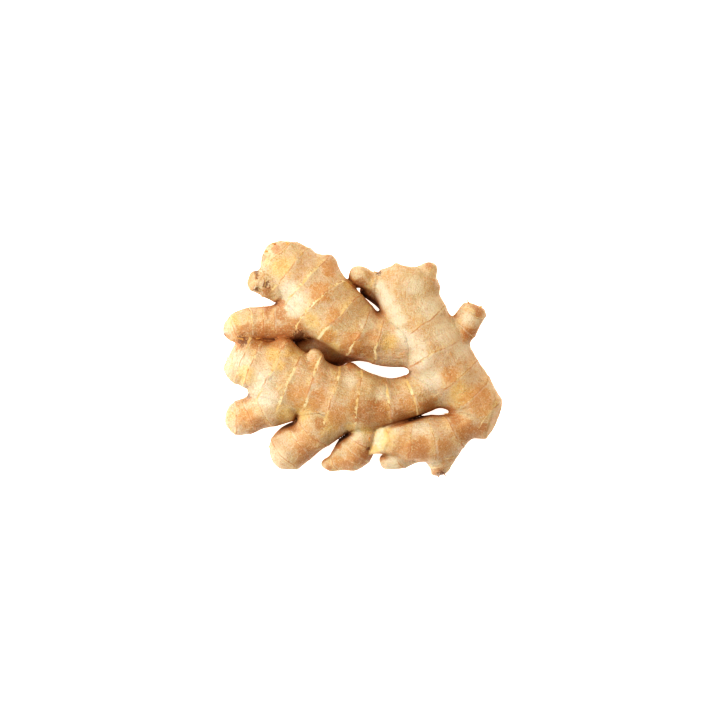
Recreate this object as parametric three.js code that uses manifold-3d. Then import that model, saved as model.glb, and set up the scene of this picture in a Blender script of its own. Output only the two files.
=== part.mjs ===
// A fresh ginger root: one branched rhizome, about 146 mm across, lying on a flat surface.
//
// Millimetres, +Z up. The origin is under the middle of the root, on the surface it lies on.
// Each lobe is a bent, slightly flattened tube with round or cut ends. Ring scars, where scale
// leaves once grew, cross it every few millimetres. All lobes are joined in one solid, and the
// three lowest spots are flattened where the root rests.

import * as THREE from 'three';
import { mergeVertices } from 'three/addons/utils/BufferGeometryUtils.js';
import Module from 'manifold-3d';

const SKIN_COLOUR = 0xdcb07a;
const SKIN_ROUGHNESS = 0.55;
const UP = new THREE.Vector3(0, 0, 1);

// Ring scars: the skin swells towards the tip, ends in a lip and drops behind it.
const SCAR_LIP = 0.75;
const SCAR_RISE = 3.2;
const SCAR_DROP = 0.9;
const SCAR_DIP = 0.25;

// Rows of vertices along a lobe, and how round an end is: 2 is elliptic, more is blunter.
const ROW_SPACING = 7;
const CLOSEST_ROWS = 0.4;
const CAP_ROWS = 3;
const ROUND_END = 2;
const ROOT_CAP = 3;

// How uneven the skin is. Lumps are shares of the local thickness; sway is millimetres.
const LUMP_TWO = 0.035;
const LUMP_THREE = 0.022;
const SWAY_ONCE = 0.8;
const SWAY_TWICE = 0.45;

// Cuts: the surface that the root lies on, and the size of the blocks that cut.
const TABLE = { at: [0, 0, 0], facing: [0, 0, -1] };
const BLOCK = 400;

// Every lobe runs from its root to its tip. A station is x, y, z of the axis, then the half
// width and the half height of the section there. Scars are distances from the root along
// the axis. cut is a point on a flat end and the direction that the end faces.
const LOBES = [
  {
    name: 'stem',
    sides: 25,
    stations: [
      [71, -35.6, 14.5, 8.9, 11.4],
      [63.7, -30.2, 14.3, 11.7, 13.2],
      [57, -21.2, 14.1, 12.6, 14.4],
      [48.1, -11.1, 15, 14.8, 14.9],
      [39.5, 1, 16.4, 17.2, 15],
      [32, 14, 17.2, 16.1, 14.6],
      [24.4, 26.7, 17.6, 15.1, 13.6],
      [23.4, 37.8, 18, 14.8, 12],
      [23.6, 47.2, 18.5, 11.2, 10.5],
    ],
    scars: [8, 22, 35, 51, 67],
    caps: [3, 8],
    blunt: 3,
    cut: { at: [68.6, -32.5, 16], facing: [0.9, -0.4, 0.2] },
  },
  {
    name: 'upper_lobe',
    sides: 26,
    stations: [
      [26, 8, 16.5, 12.5, 12],
      [14, 8.5, 16.5, 12.7, 12.2],
      [4.2, 10.9, 16.8, 12.5, 13],
      [-6.5, 16.5, 17, 15, 14.6],
      [-18.3, 26.7, 16.2, 18, 15.4],
      [-30.4, 38.6, 14.2, 16.1, 14.7],
      [-39.9, 47.6, 15, 13.3, 12.8],
      [-48.6, 57.9, 16, 11.3, 11],
    ],
    scars: [18, 29, 41, 52, 65, 78],
    caps: [4, 13],
  },
  {
    name: 'left_finger',
    sides: 18,
    stations: [
      [-29, 21, 16, 10, 9],
      [-40, 18.2, 14.5, 10.2, 9],
      [-50, 17.2, 13, 9.3, 8.6],
      [-59, 16.6, 12, 9.5, 8.6],
      [-66, 14.2, 11.5, 8.2, 8],
      [-72.2, 11.4, 11.5, 6.2, 6.6],
    ],
    scars: [15, 22, 29],
    caps: [4, 8],
  },
  {
    name: 'hidden_lobe',
    sides: 12,
    stations: [
      [4, 9.5, 11, 9, 7.5],
      [-9, 5.3, 9.5, 7.8, 7],
      [-19, 2.4, 9, 7.8, 6.8],
      [-36.5, 6.2, 9.4, 7.4, 6.2],
    ],
    scars: [16, 24],
    caps: [4, 6],
  },
  {
    name: 'lower_lobe',
    sides: 26,
    stations: [
      [47, -12.5, 15.5, 11, 11],
      [36, -16, 15.5, 10.5, 10.6],
      [26, -19.8, 15.8, 10.7, 10.8],
      [13.5, -23.1, 16.2, 12.4, 12],
      [1, -22.5, 17, 15.2, 13.6],
      [-11, -21, 17.4, 15.6, 14.2],
      [-23, -17, 17.6, 14.6, 14.3],
      [-35, -12.3, 17.6, 14.6, 14],
      [-46, -7.4, 17.2, 15.4, 13],
      [-57, -2.8, 16.4, 12.9, 11.6],
      [-66.6, 1.5, 15.6, 10.2, 9.6],
    ],
    scars: [23, 36, 50.5, 64, 77, 88, 98, 108],
    caps: [4, 8],
    blunt: 3,
  },
  {
    name: 'low_left_finger',
    sides: 18,
    stations: [
      [-37, -19.5, 15.5, 13, 12],
      [-48.6, -24.6, 14.6, 11.2, 11],
      [-57, -29.2, 13, 9.2, 10],
      [-63, -31.5, 12.2, 9.5, 9.3],
      [-72.6, -32.2, 11.8, 7.6, 7.6],
    ],
    scars: [15, 24],
    caps: [5, 9],
  },
  {
    name: 'bottom_finger',
    sides: 18,
    stations: [
      [-13, -23, 15.5, 14.5, 13],
      [-21.3, -33.1, 13.8, 12.3, 12.4],
      [-28.8, -41.3, 11.4, 10.3, 10.9],
      [-37.2, -47.4, 9.7, 11.5, 10.1],
      [-45.8, -55.7, 9.4, 9.8, 8.6],
    ],
    scars: [20, 29],
    caps: [5, 9],
  },
  {
    name: 'pointed_finger',
    sides: 16,
    stations: [
      [4, -32.4, 12.5, 7.6, 8.6],
      [0.4, -41.6, 11.5, 7.8, 8.8],
      [-4.4, -49, 10.5, 9.2, 9],
      [-9.4, -54.2, 9.8, 7.6, 7.4],
    ],
    scars: [12, 19],
    caps: [4, 6],
    blunt: 3,
  },
  {
    name: 'finger_point',
    sides: 12,
    stations: [
      [-6, -51, 10, 7.4, 7],
      [-14.5, -55, 9.4, 4.8, 4.8],
      [-21.7, -56.6, 9.2, 2.8, 2.9],
    ],
    scars: [9],
    caps: [3, 3.5],
  },
  {
    name: 'side_lobe',
    sides: 20,
    stations: [
      [61, -29.6, 14.5, 10.2, 12],
      [50.2, -36.4, 15, 8.6, 10.6],
      [40, -41.4, 15.6, 11.7, 11],
      [29, -43, 16.2, 11.5, 11],
      [19, -42.2, 16.8, 9.3, 9.6],
      [10, -43, 17.2, 7.3, 8],
      [1, -43.5, 17.4, 6.8, 7.4],
    ],
    scars: [17, 29, 40, 50],
    caps: [4, 3],
    blunt: 3,
    cut: { at: [7.4, -43, 20], facing: [-0.72, 0.1, 0.68] },
  },
  {
    name: 'right_stub',
    sides: 14,
    stations: [
      [42.4, 7.4, 17.5, 9.4, 9],
      [50.8, 14.2, 18.2, 7.4, 7.6],
      [55.4, 20.4, 19.2, 7, 7.4],
      [58.3, 27, 20, 5.8, 6.8],
    ],
    scars: [13],
    caps: [4, 4],
    blunt: 3,
  },
  {
    name: 'rotten_stub',
    sides: 14,
    stations: [
      [-41, 35.6, 16, 8.4, 7],
      [-48.4, 38, 17.6, 7, 6.6],
      [-54.5, 39.3, 19, 5.7, 6],
      [-61, 39.8, 19.4, 4, 5.2],
    ],
    scars: [11],
    caps: [4, 2],
    blunt: 3,
    cut: { at: [-58, 39.4, 19.3], facing: [-0.9, 0.15, 0.4] },
  },
  {
    name: 'top_bud',
    sides: 14,
    stations: [
      [31, 35, 18, 9, 8],
      [32.2, 41.5, 19.4, 6.4, 7],
      [33.6, 46.3, 20.4, 6.1, 6.4],
      [34, 50.2, 21, 5.6, 5.6],
    ],
    scars: [7],
    caps: [4, 5],
  },
  {
    name: 'left_bud',
    sides: 14,
    stations: [
      [12, 35, 13, 6, 6],
      [5.6, 38.4, 15, 4.6, 5],
      [-1.2, 41.6, 17.4, 5.2, 5.2],
      [-7.2, 42.2, 17.8, 4.5, 4.8],
    ],
    scars: [8],
    caps: [4, 4.5],
    blunt: 3,
  },
  {
    name: 'flank_fold',
    sides: 12,
    stations: [
      [-0.6, 38.6, 9.5, 5.2, 7],
      [8.8, 32.4, 9.5, 5, 7.5],
      [14.6, 25.8, 9.5, 4.6, 8],
      [18, 20, 10, 5, 8],
    ],
    caps: [4, 4],
  },
  {
    name: 'foot_knob',
    sides: 14,
    stations: [
      [29, -47, 13.5, 8, 7.4],
      [20, -52, 13, 6.2, 6.2],
      [14.4, -54.2, 12.8, 4.4, 5],
      [9, -55, 12.8, 3.4, 4],
    ],
    scars: [12],
    caps: [4, 3],
    blunt: 3,
  },
  {
    name: 'dry_knob',
    sides: 14,
    stations: [
      [41.8, -43, 14, 8.5, 8.4],
      [40.2, -52, 13, 6.9, 7],
      [40.2, -58, 12.4, 5.2, 5.6],
      [40.4, -61.8, 12.2, 4.1, 4.6],
    ],
    scars: [8, 13.5],
    caps: [4, 3.4],
    blunt: 3,
  },
  { name: 'stem_ridge', sides: 12, stations: [[19.6, 38, 18.5, 6, 7], [17.2, 48.8, 20, 2.4, 3.2]] },
  { name: 'stem_scale_bud', sides: 10, stations: [[13, 37, 18, 4, 4], [9.6, 44.4, 18.5, 1.6, 2]] },
  { name: 'corner_knob', sides: 12, stations: [[-20.4, 42, 18, 8.6, 7], [-16.4, 53.4, 19, 3.4, 3.4]] },
  { name: 'crest_knob', sides: 12, stations: [[-40, -4, 19, 8, 8], [-41.2, 9.9, 21, 4, 4.6]] },
  {
    name: 'thumb_bud',
    sides: 12,
    stations: [
      [-22.6, -9, 19.5, 6, 6],
      [-24.4, -1.5, 22.6, 4.1, 4.2],
      [-25.6, 4.2, 23.6, 3.6, 3.8],
    ],
    caps: [3, 3.2],
  },
  { name: 'notch_knob', sides: 12, stations: [[-5.6, -13, 18, 8, 7], [-6.6, -2.7, 18, 1.8, 2.2]] },
  { name: 'shoulder_knob', sides: 12, stations: [[-59, -1, 16.5, 9, 8], [-62, 10.6, 16, 4.6, 4.8]] },
  { name: 'end_knob', sides: 12, stations: [[-60, -6.4, 15, 7.4, 7], [-72, -5.2, 14.4, 4.5, 5]] },
];

// The smooth curves that a lobe follows, its length, and how long its two rounded ends are.
function shapeOf(lobe) {
  const points = lobe.stations.map(([x, y, z]) => new THREE.Vector3(x, y, z));
  const sizes = lobe.stations.map(([, , , w, h]) => new THREE.Vector3(w, h, 0));
  const axis = new THREE.CatmullRomCurve3(points, false, 'catmullrom', 0.5);
  const size = new THREE.CatmullRomCurve3(sizes, false, 'catmullrom', 0.5);
  const [rootCap, tipCap] = lobe.caps ?? [ROOT_CAP, sizes.at(-1).y];
  return { axis, size, length: axis.getLength(), rootCap, tipCap };
}

// 1 along the middle of a lobe, falling to 0 at its two ends.
function endShare(lobe, shape, s) {
  const blunt = lobe.blunt ?? ROUND_END;
  const past = Math.max(1 - s / shape.rootCap, 1 - (shape.length - s) / shape.tipCap, 0);
  return Math.max(1 - past ** blunt, 0) ** (1 / blunt);
}

// How far the skin stands out at distance s because of the ring scars.
function scarRelief(lobe, s) {
  let relief = 0;
  for (const scar of lobe.scars ?? []) {
    const past = s - scar;
    if (past > -SCAR_RISE && past <= 0) relief += SCAR_LIP * (1 + past / SCAR_RISE) ** 2;
    if (past > 0 && past < SCAR_RISE) relief -= SCAR_DIP * (1 - past / SCAR_RISE);
  }
  return relief;
}

// The point of a lobe's skin at distance s from its root, at an angle around it.
function skinPoint(lobe, shape, s, angle) {
  const t = shape.axis.getUtoTmapping(s / shape.length);
  const tangent = shape.axis.getTangent(t);
  const side = new THREE.Vector3().crossVectors(tangent, UP).normalize();
  const up = new THREE.Vector3().crossVectors(side, tangent);
  const { x: halfWidth, y: halfHeight } = shape.size.getPoint(t);
  const lumpTwo = LUMP_TWO * Math.sin(2 * angle + s / 11);
  const lumpThree = LUMP_THREE * Math.sin(3 * angle - s / 7);
  const lumps = 1 + lumpTwo + lumpThree;
  const sway = SWAY_ONCE * Math.sin(angle + s / 9) + SWAY_TWICE * Math.sin(2 * angle - s / 6);
  const relief = scarRelief(lobe, s);
  const end = endShare(lobe, shape, s);
  return shape.axis
    .getPoint(t)
    .addScaledVector(side, end * (halfWidth * lumps + relief) * Math.cos(angle))
    .addScaledVector(up, end * (halfHeight * lumps + relief) * Math.sin(angle))
    .addScaledVector(tangent, end * sway);
}

// Distances from the root at which a lobe has a row of vertices: its ends, its scars, and
// enough between them to follow the bends.
function rowsAlong(lobe, { length, rootCap, tipCap }) {
  const marks = [0, length];
  for (let i = 1; i <= CAP_ROWS; i++) {
    const inset = 1 - Math.cos((i / CAP_ROWS) * (Math.PI / 2));
    marks.push(rootCap * inset, length - tipCap * inset);
  }
  for (const scar of lobe.scars ?? []) marks.push(scar - 0.7 * SCAR_RISE, scar, scar + SCAR_DROP);
  marks.sort((a, b) => a - b);
  const rows = [0];
  for (const mark of marks) {
    const gap = mark - rows.at(-1);
    if (gap < CLOSEST_ROWS) continue;
    const steps = Math.ceil(gap / ROW_SPACING);
    const from = rows.at(-1);
    for (let i = 1; i <= steps; i++) rows.push(from + (gap * i) / steps);
  }
  rows[rows.length - 1] = length;
  return rows;
}

// A sphere whose vertices are moved onto the lobe's skin, one row of them at a time.
function lobeGeometry(lobe) {
  const shape = shapeOf(lobe);
  const rows = rowsAlong(lobe, shape);
  const geometry = new THREE.SphereGeometry(1, lobe.sides, rows.length - 1);
  const { position, uv } = geometry.attributes;
  for (let i = 0; i < position.count; i++) {
    const row = Math.round((1 - uv.getY(i)) * (rows.length - 1));
    const angle = (Math.round(uv.getX(i) * lobe.sides) / lobe.sides) * 2 * Math.PI;
    position.setXYZ(i, ...skinPoint(lobe, shape, rows[row], angle));
  }
  return geometry;
}

const wasm = await Module();
wasm.setup();

function solidOf(geometry) {
  geometry.deleteAttribute('normal');
  geometry.deleteAttribute('uv');
  const merged = mergeVertices(geometry);
  return new wasm.Manifold(
    new wasm.Mesh({
      numProp: 3,
      vertProperties: merged.attributes.position.array,
      triVerts: new Uint32Array(merged.index.array),
    }),
  );
}

// A block that fills all that lies beyond a flat face, to cut it away.
function blockBeyond({ at, facing }) {
  const block = new THREE.BoxGeometry(BLOCK, BLOCK, BLOCK).translate(0, 0, BLOCK / 2);
  const turn = new THREE.Quaternion().setFromUnitVectors(UP, new THREE.Vector3(...facing).normalize());
  return solidOf(block.applyQuaternion(turn).translate(...at));
}

function lobeSolid(lobe) {
  const whole = solidOf(lobeGeometry(lobe));
  return lobe.cut ? whole.subtract(blockBeyond(lobe.cut)) : whole;
}

const joined = LOBES.map(lobeSolid).reduce((all, lobe) => all.add(lobe));
const resting = joined.subtract(blockBeyond(TABLE));

const { vertProperties, triVerts } = resting.getMesh();
const geometry = new THREE.BufferGeometry()
  .setAttribute('position', new THREE.BufferAttribute(vertProperties, 3))
  .setIndex(new THREE.BufferAttribute(triVerts, 1));
geometry.computeVertexNormals();
geometry.computeBoundingBox();
const middle = geometry.boundingBox.getCenter(new THREE.Vector3());
geometry.translate(-middle.x, -middle.y, 0);

const skin = new THREE.MeshStandardMaterial({
  color: SKIN_COLOUR,
  roughness: SKIN_ROUGHNESS,
  metalness: 0,
});
const gingerRoot = new THREE.Mesh(geometry, skin);
gingerRoot.name = 'ginger_root';

const root = new THREE.Group();
root.add(gingerRoot);

export default root;
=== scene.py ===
# A fresh ginger root lying on a table: its skin, ring scars, torn scale leaves and dirt, with painted shade
# in its creases and on its flanks and painted highlight on its lit slopes.
# Places and sizes are in millimetres up to the point where a mesh is made, which is in metres.
import math

import bpy
import numpy as np
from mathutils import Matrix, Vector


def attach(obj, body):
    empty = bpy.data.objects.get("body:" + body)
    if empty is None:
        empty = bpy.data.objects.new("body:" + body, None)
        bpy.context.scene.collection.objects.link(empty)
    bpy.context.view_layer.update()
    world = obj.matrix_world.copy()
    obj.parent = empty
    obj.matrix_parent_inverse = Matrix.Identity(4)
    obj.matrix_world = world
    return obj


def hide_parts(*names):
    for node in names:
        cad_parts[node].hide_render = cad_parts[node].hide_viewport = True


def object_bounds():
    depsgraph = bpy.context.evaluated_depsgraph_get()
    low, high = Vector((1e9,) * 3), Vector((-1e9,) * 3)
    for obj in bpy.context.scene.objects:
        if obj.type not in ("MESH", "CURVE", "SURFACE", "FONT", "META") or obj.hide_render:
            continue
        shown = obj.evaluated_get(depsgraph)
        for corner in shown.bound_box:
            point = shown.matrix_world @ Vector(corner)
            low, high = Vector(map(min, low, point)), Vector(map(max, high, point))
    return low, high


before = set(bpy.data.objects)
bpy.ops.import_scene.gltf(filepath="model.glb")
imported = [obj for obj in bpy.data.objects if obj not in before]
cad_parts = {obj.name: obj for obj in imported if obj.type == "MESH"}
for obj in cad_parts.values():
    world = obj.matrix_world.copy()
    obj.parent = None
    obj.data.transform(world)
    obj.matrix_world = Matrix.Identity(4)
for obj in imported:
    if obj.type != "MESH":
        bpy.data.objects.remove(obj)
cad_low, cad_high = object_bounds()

import openvdb as vdb
from mathutils import Vector
from mathutils.bvhtree import BVHTree

# ---- The root's body ---------------------------------------------------------------------
# One rhizome that grew as branching lobes, each a bent, slightly flattened tube with a ring
# scar wherever a scale leaf sat. Nothing is joined on: the lobes swell out of each other.
# A station is x, y, z, half width, half height; scars are distances from the lobe's root.
MM = 0.001
# The middle of the whole root where its stations were laid out; the lobes are moved so that it lies at 0,
# 0.
MIDDLE_MM = (0.203, -1.064)

LOBES = {
    "stem": dict(
        stations=[
            (71, -35.6, 14.5, 8.9, 11.4),
            (63.7, -30.2, 14.3, 11.7, 13.2),
            (57, -21.2, 14.1, 12.6, 14.4),
            (48.1, -11.1, 15, 14.8, 14.9),
            (39.5, 1, 16.4, 17.2, 15),
            (32, 14, 17.2, 16.1, 14.6),
            (24.4, 26.7, 17.6, 15.1, 13.6),
            (23.4, 37.8, 18, 14.8, 12),
            (23.6, 47.2, 18.5, 11.2, 10.5),
        ],
        scars=[8, 22, 35, 51, 67],
        caps=(3, 8),
        blunt=3,
        cut=dict(at=(68.6, -32.5, 16), facing=(0.9, -0.4, 0.2)),
        lip=0.35,
    ),
    "upper_lobe": dict(
        grows_from="stem",
        stations=[
            (26, 8, 16.5, 12.5, 12),
            (14, 8.5, 16.5, 12.7, 12.2),
            (4.2, 10.9, 16.8, 12.5, 13),
            (-6.5, 16.5, 17, 15, 14.6),
            (-18.3, 26.7, 16.2, 18, 15.4),
            (-30.4, 38.6, 14.2, 16.1, 14.7),
            (-39.9, 47.6, 15, 13.3, 12.8),
            (-48.6, 57.9, 16, 11.3, 11),
        ],
        scars=[18, 29, 41, 52, 65, 78],
        caps=(4, 13),
        fillet=3,
        lip=0.65,
    ),
    "left_finger": dict(
        grows_from="upper_lobe",
        stations=[
            (-29, 21, 16, 10, 9),
            (-40, 18.2, 14.5, 10.2, 9),
            (-50, 17.2, 13, 9.3, 8.6),
            (-59, 16.6, 12, 9.5, 8.6),
            (-66, 14.2, 11.5, 8.2, 8),
            (-72.2, 11.4, 11.5, 6.2, 6.6),
        ],
        scars=[15, 22, 29],
        caps=(4, 8),
    ),
    "hidden_lobe": dict(
        grows_from="upper_lobe",
        stations=[
            (4, 9.5, 11, 9, 7.5),
            (-9, 5.3, 9.5, 7.8, 7),
            (-19, 2.4, 9, 7.8, 6.8),
            (-36.5, 6.2, 9.4, 7.4, 6.2),
        ],
        scars=[16, 24],
        caps=(4, 6),
    ),
    "lower_lobe": dict(
        grows_from="stem",
        stations=[
            (47, -12.5, 15.5, 11, 11),
            (36, -16, 15.5, 10.5, 10.6),
            (26, -19.8, 15.8, 10.7, 10.8),
            (13.5, -23.1, 16.2, 12.4, 12),
            (1, -22.5, 17, 15.2, 13.6),
            (-11, -21, 17.4, 15.6, 14.2),
            (-23, -17, 17.6, 14.6, 14.3),
            (-35, -12.3, 17.6, 14.6, 14),
            (-46, -7.4, 17.2, 15.4, 13),
            (-57, -2.8, 16.4, 12.9, 11.6),
            (-66.6, 1.5, 15.6, 10.2, 9.6),
        ],
        scars=[23, 36, 50.5, 64, 77, 88, 98, 108],
        caps=(4, 8),
        fillet=4,
        blunt=3,
        lip=0.75,
    ),
    "low_left_finger": dict(
        grows_from="lower_lobe",
        stations=[
            (-37, -19.5, 15.5, 13, 12),
            (-48.6, -24.6, 14.6, 11.2, 11),
            (-57, -29.2, 13, 9.2, 10),
            (-63, -31.5, 12.2, 9.5, 9.3),
            (-72.6, -32.2, 11.8, 7.6, 7.6),
        ],
        scars=[15, 24],
        caps=(5, 9),
    ),
    "bottom_finger": dict(
        grows_from="lower_lobe",
        stations=[
            (-13, -23, 15.5, 14.5, 13),
            (-21.3, -33.1, 13.8, 12.3, 12.4),
            (-28.8, -41.3, 11.4, 10.3, 10.9),
            (-37.2, -47.4, 9.7, 11.5, 10.1),
            (-45.8, -55.7, 9.4, 9.8, 8.6),
        ],
        scars=[20, 29],
        caps=(5, 9),
    ),
    "pointed_finger": dict(
        grows_from="lower_lobe",
        stations=[
            (4, -32.4, 12.5, 7.6, 8.6),
            (0.4, -41.6, 11.5, 7.8, 8.8),
            (-4.4, -49, 10.5, 9.2, 9),
            (-9.4, -54.2, 9.8, 7.6, 7.4),
        ],
        scars=[12, 19],
        caps=(4, 6),
        blunt=3,
        fillet=3,
    ),
    "finger_point": dict(
        grows_from="pointed_finger",
        stations=[(-6, -51, 10, 7.4, 7), (-14.5, -55, 9.4, 4.8, 4.8), (-21.7, -56.6, 9.2, 2.8, 2.9)],
        scars=[9],
        caps=(3, 3.5),
    ),
    "side_lobe": dict(
        grows_from="stem",
        stations=[
            (61, -29.6, 14.5, 10.2, 12),
            (50.2, -36.4, 15, 8.6, 10.6),
            (40, -41.4, 15.6, 11.7, 11),
            (29, -43, 16.2, 11.5, 11),
            (19, -42.2, 16.8, 9.3, 9.6),
            (10, -43, 17.2, 7.3, 8),
            (1, -43.5, 17.4, 6.8, 7.4),
        ],
        scars=[17, 29, 40, 50],
        caps=(4, 3),
        fillet=2.5,
        blunt=3,
        cut=dict(at=(7.4, -43, 20), facing=(-0.72, 0.1, 0.68), fresh=1),
        lip=0.5,
    ),
    "right_stub": dict(
        grows_from="stem",
        stations=[
            (42.4, 7.4, 17.5, 9.4, 9),
            (50.8, 14.2, 18.2, 7.4, 7.6),
            (55.4, 20.4, 19.2, 7, 7.4),
            (58.3, 27, 20, 5.8, 6.8),
        ],
        scars=[13, 22],
        caps=(4, 4),
        blunt=3,
        fillet=3,
    ),
    "rotten_stub": dict(
        grows_from="upper_lobe",
        stations=[
            (-41, 35.6, 16, 8.4, 7),
            (-48.4, 38, 17.6, 7, 6.6),
            (-54.5, 39.3, 19, 5.7, 6),
            (-61, 39.8, 19.4, 4, 5.2),
        ],
        scars=[11],
        caps=(4, 2),
        blunt=3,
        cut=dict(at=(-58, 39.4, 19.3), facing=(-0.9, 0.15, 0.4), rotten=1),
        lip=0.5,
        fillet=3,
    ),
    "top_bud": dict(
        grows_from="stem",
        stations=[
            (31, 35, 18, 9, 8),
            (32.2, 41.5, 19.4, 6.4, 7),
            (33.6, 46.3, 20.4, 6.1, 6.4),
            (34, 50.2, 21, 5.6, 5.6),
        ],
        scars=[7],
        caps=(4, 5),
        fillet=3,
    ),
    "left_bud": dict(
        grows_from="stem",
        stations=[
            (12, 35, 13, 6, 6),
            (5.6, 38.4, 15, 4.6, 5),
            (-1.2, 41.6, 17.4, 5.2, 5.2),
            (-7.2, 42.2, 17.8, 4.5, 4.8),
        ],
        scars=[8],
        caps=(4, 4.5),
        blunt=3,
    ),
    "flank_fold": dict(
        grows_from="stem",
        stations=[
            (-0.6, 38.6, 9.5, 5.2, 7),
            (8.8, 32.4, 9.5, 5, 7.5),
            (14.6, 25.8, 9.5, 4.6, 8),
            (18, 20, 10, 5, 8),
        ],
        caps=(4, 4),
        fillet=3,
    ),
    "foot_knob": dict(
        grows_from="side_lobe",
        stations=[
            (29, -47, 13.5, 8, 7.4),
            (20, -52, 13, 6.2, 6.2),
            (14.4, -54.2, 12.8, 4.4, 5),
            (9, -55, 12.8, 3.4, 4),
        ],
        scars=[12],
        caps=(4, 3),
        blunt=3,
        fillet=3,
    ),
    "dry_knob": dict(
        grows_from="side_lobe",
        stations=[
            (41.8, -43, 14, 8.5, 8.4),
            (40.2, -52, 13, 6.9, 7),
            (40.2, -58, 12.4, 5.2, 5.6),
            (40.4, -61.8, 12.2, 4.1, 4.6),
        ],
        scars=[8, 13.5],
        caps=(4, 3.4),
        blunt=3,
        fillet=4,
    ),
    "stem_ridge": dict(
        grows_from="stem", stations=[(19.6, 38, 18.5, 6, 7), (17.2, 48.8, 20, 2.4, 3.2)], fillet=2
    ),
    "stem_scale_bud": dict(
        grows_from="stem", stations=[(13, 37, 18, 4, 4), (9.6, 44.4, 18.5, 1.6, 2)], fillet=2
    ),
    "corner_knob": dict(
        grows_from="upper_lobe", stations=[(-20.4, 42, 18, 8.6, 7), (-16.4, 53.4, 19, 3.4, 3.4)]
    ),
    "crest_knob": dict(
        grows_from="lower_lobe", stations=[(-40, -4, 19, 8, 8), (-41.2, 9.9, 21, 4, 4.6)]
    ),
    "thumb_bud": dict(
        grows_from="lower_lobe",
        stations=[(-22.6, -9, 19.5, 6, 6), (-24.4, -1.5, 22.6, 4.1, 4.2), (-25.6, 4.2, 23.6, 3.6, 3.8)],
        caps=(3, 3.2),
        fillet=3,
    ),
    "notch_knob": dict(
        grows_from="lower_lobe", stations=[(-5.6, -13, 18, 8, 7), (-6.6, -2.7, 18, 1.8, 2.2)]
    ),
    "shoulder_knob": dict(
        grows_from="lower_lobe", stations=[(-59, -1, 16.5, 9, 8), (-62, 10.6, 16, 4.6, 4.8)]
    ),
    "end_knob": dict(
        grows_from="lower_lobe", stations=[(-60, -6.4, 15, 7.4, 7), (-72, -5.2, 14.4, 4.5, 5)]
    ),
}


def uneven(points, bump, seed, waves=24):
    """Smooth random heights, mostly within -1 to 1, whose bumps are about `bump` across."""
    draw = np.random.default_rng(seed)
    turns = draw.normal(size=(waves, 3))
    turns *= (math.pi / bump * draw.uniform(0.6, 1.4, waves) / np.linalg.norm(turns, axis=1))[:, None]
    phases = draw.uniform(0, 2 * math.pi, waves)
    return np.sin(points @ turns.T + phases).sum(axis=1) / math.sqrt(waves)


def soft_least(first, second, blend):
    """The lesser of two distances, with a fillet of about `blend` where they meet."""
    share = np.clip(1 - np.abs(first - second) / blend, 0, 1)
    return np.minimum(first, second) - share**2 * blend / 4


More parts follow.
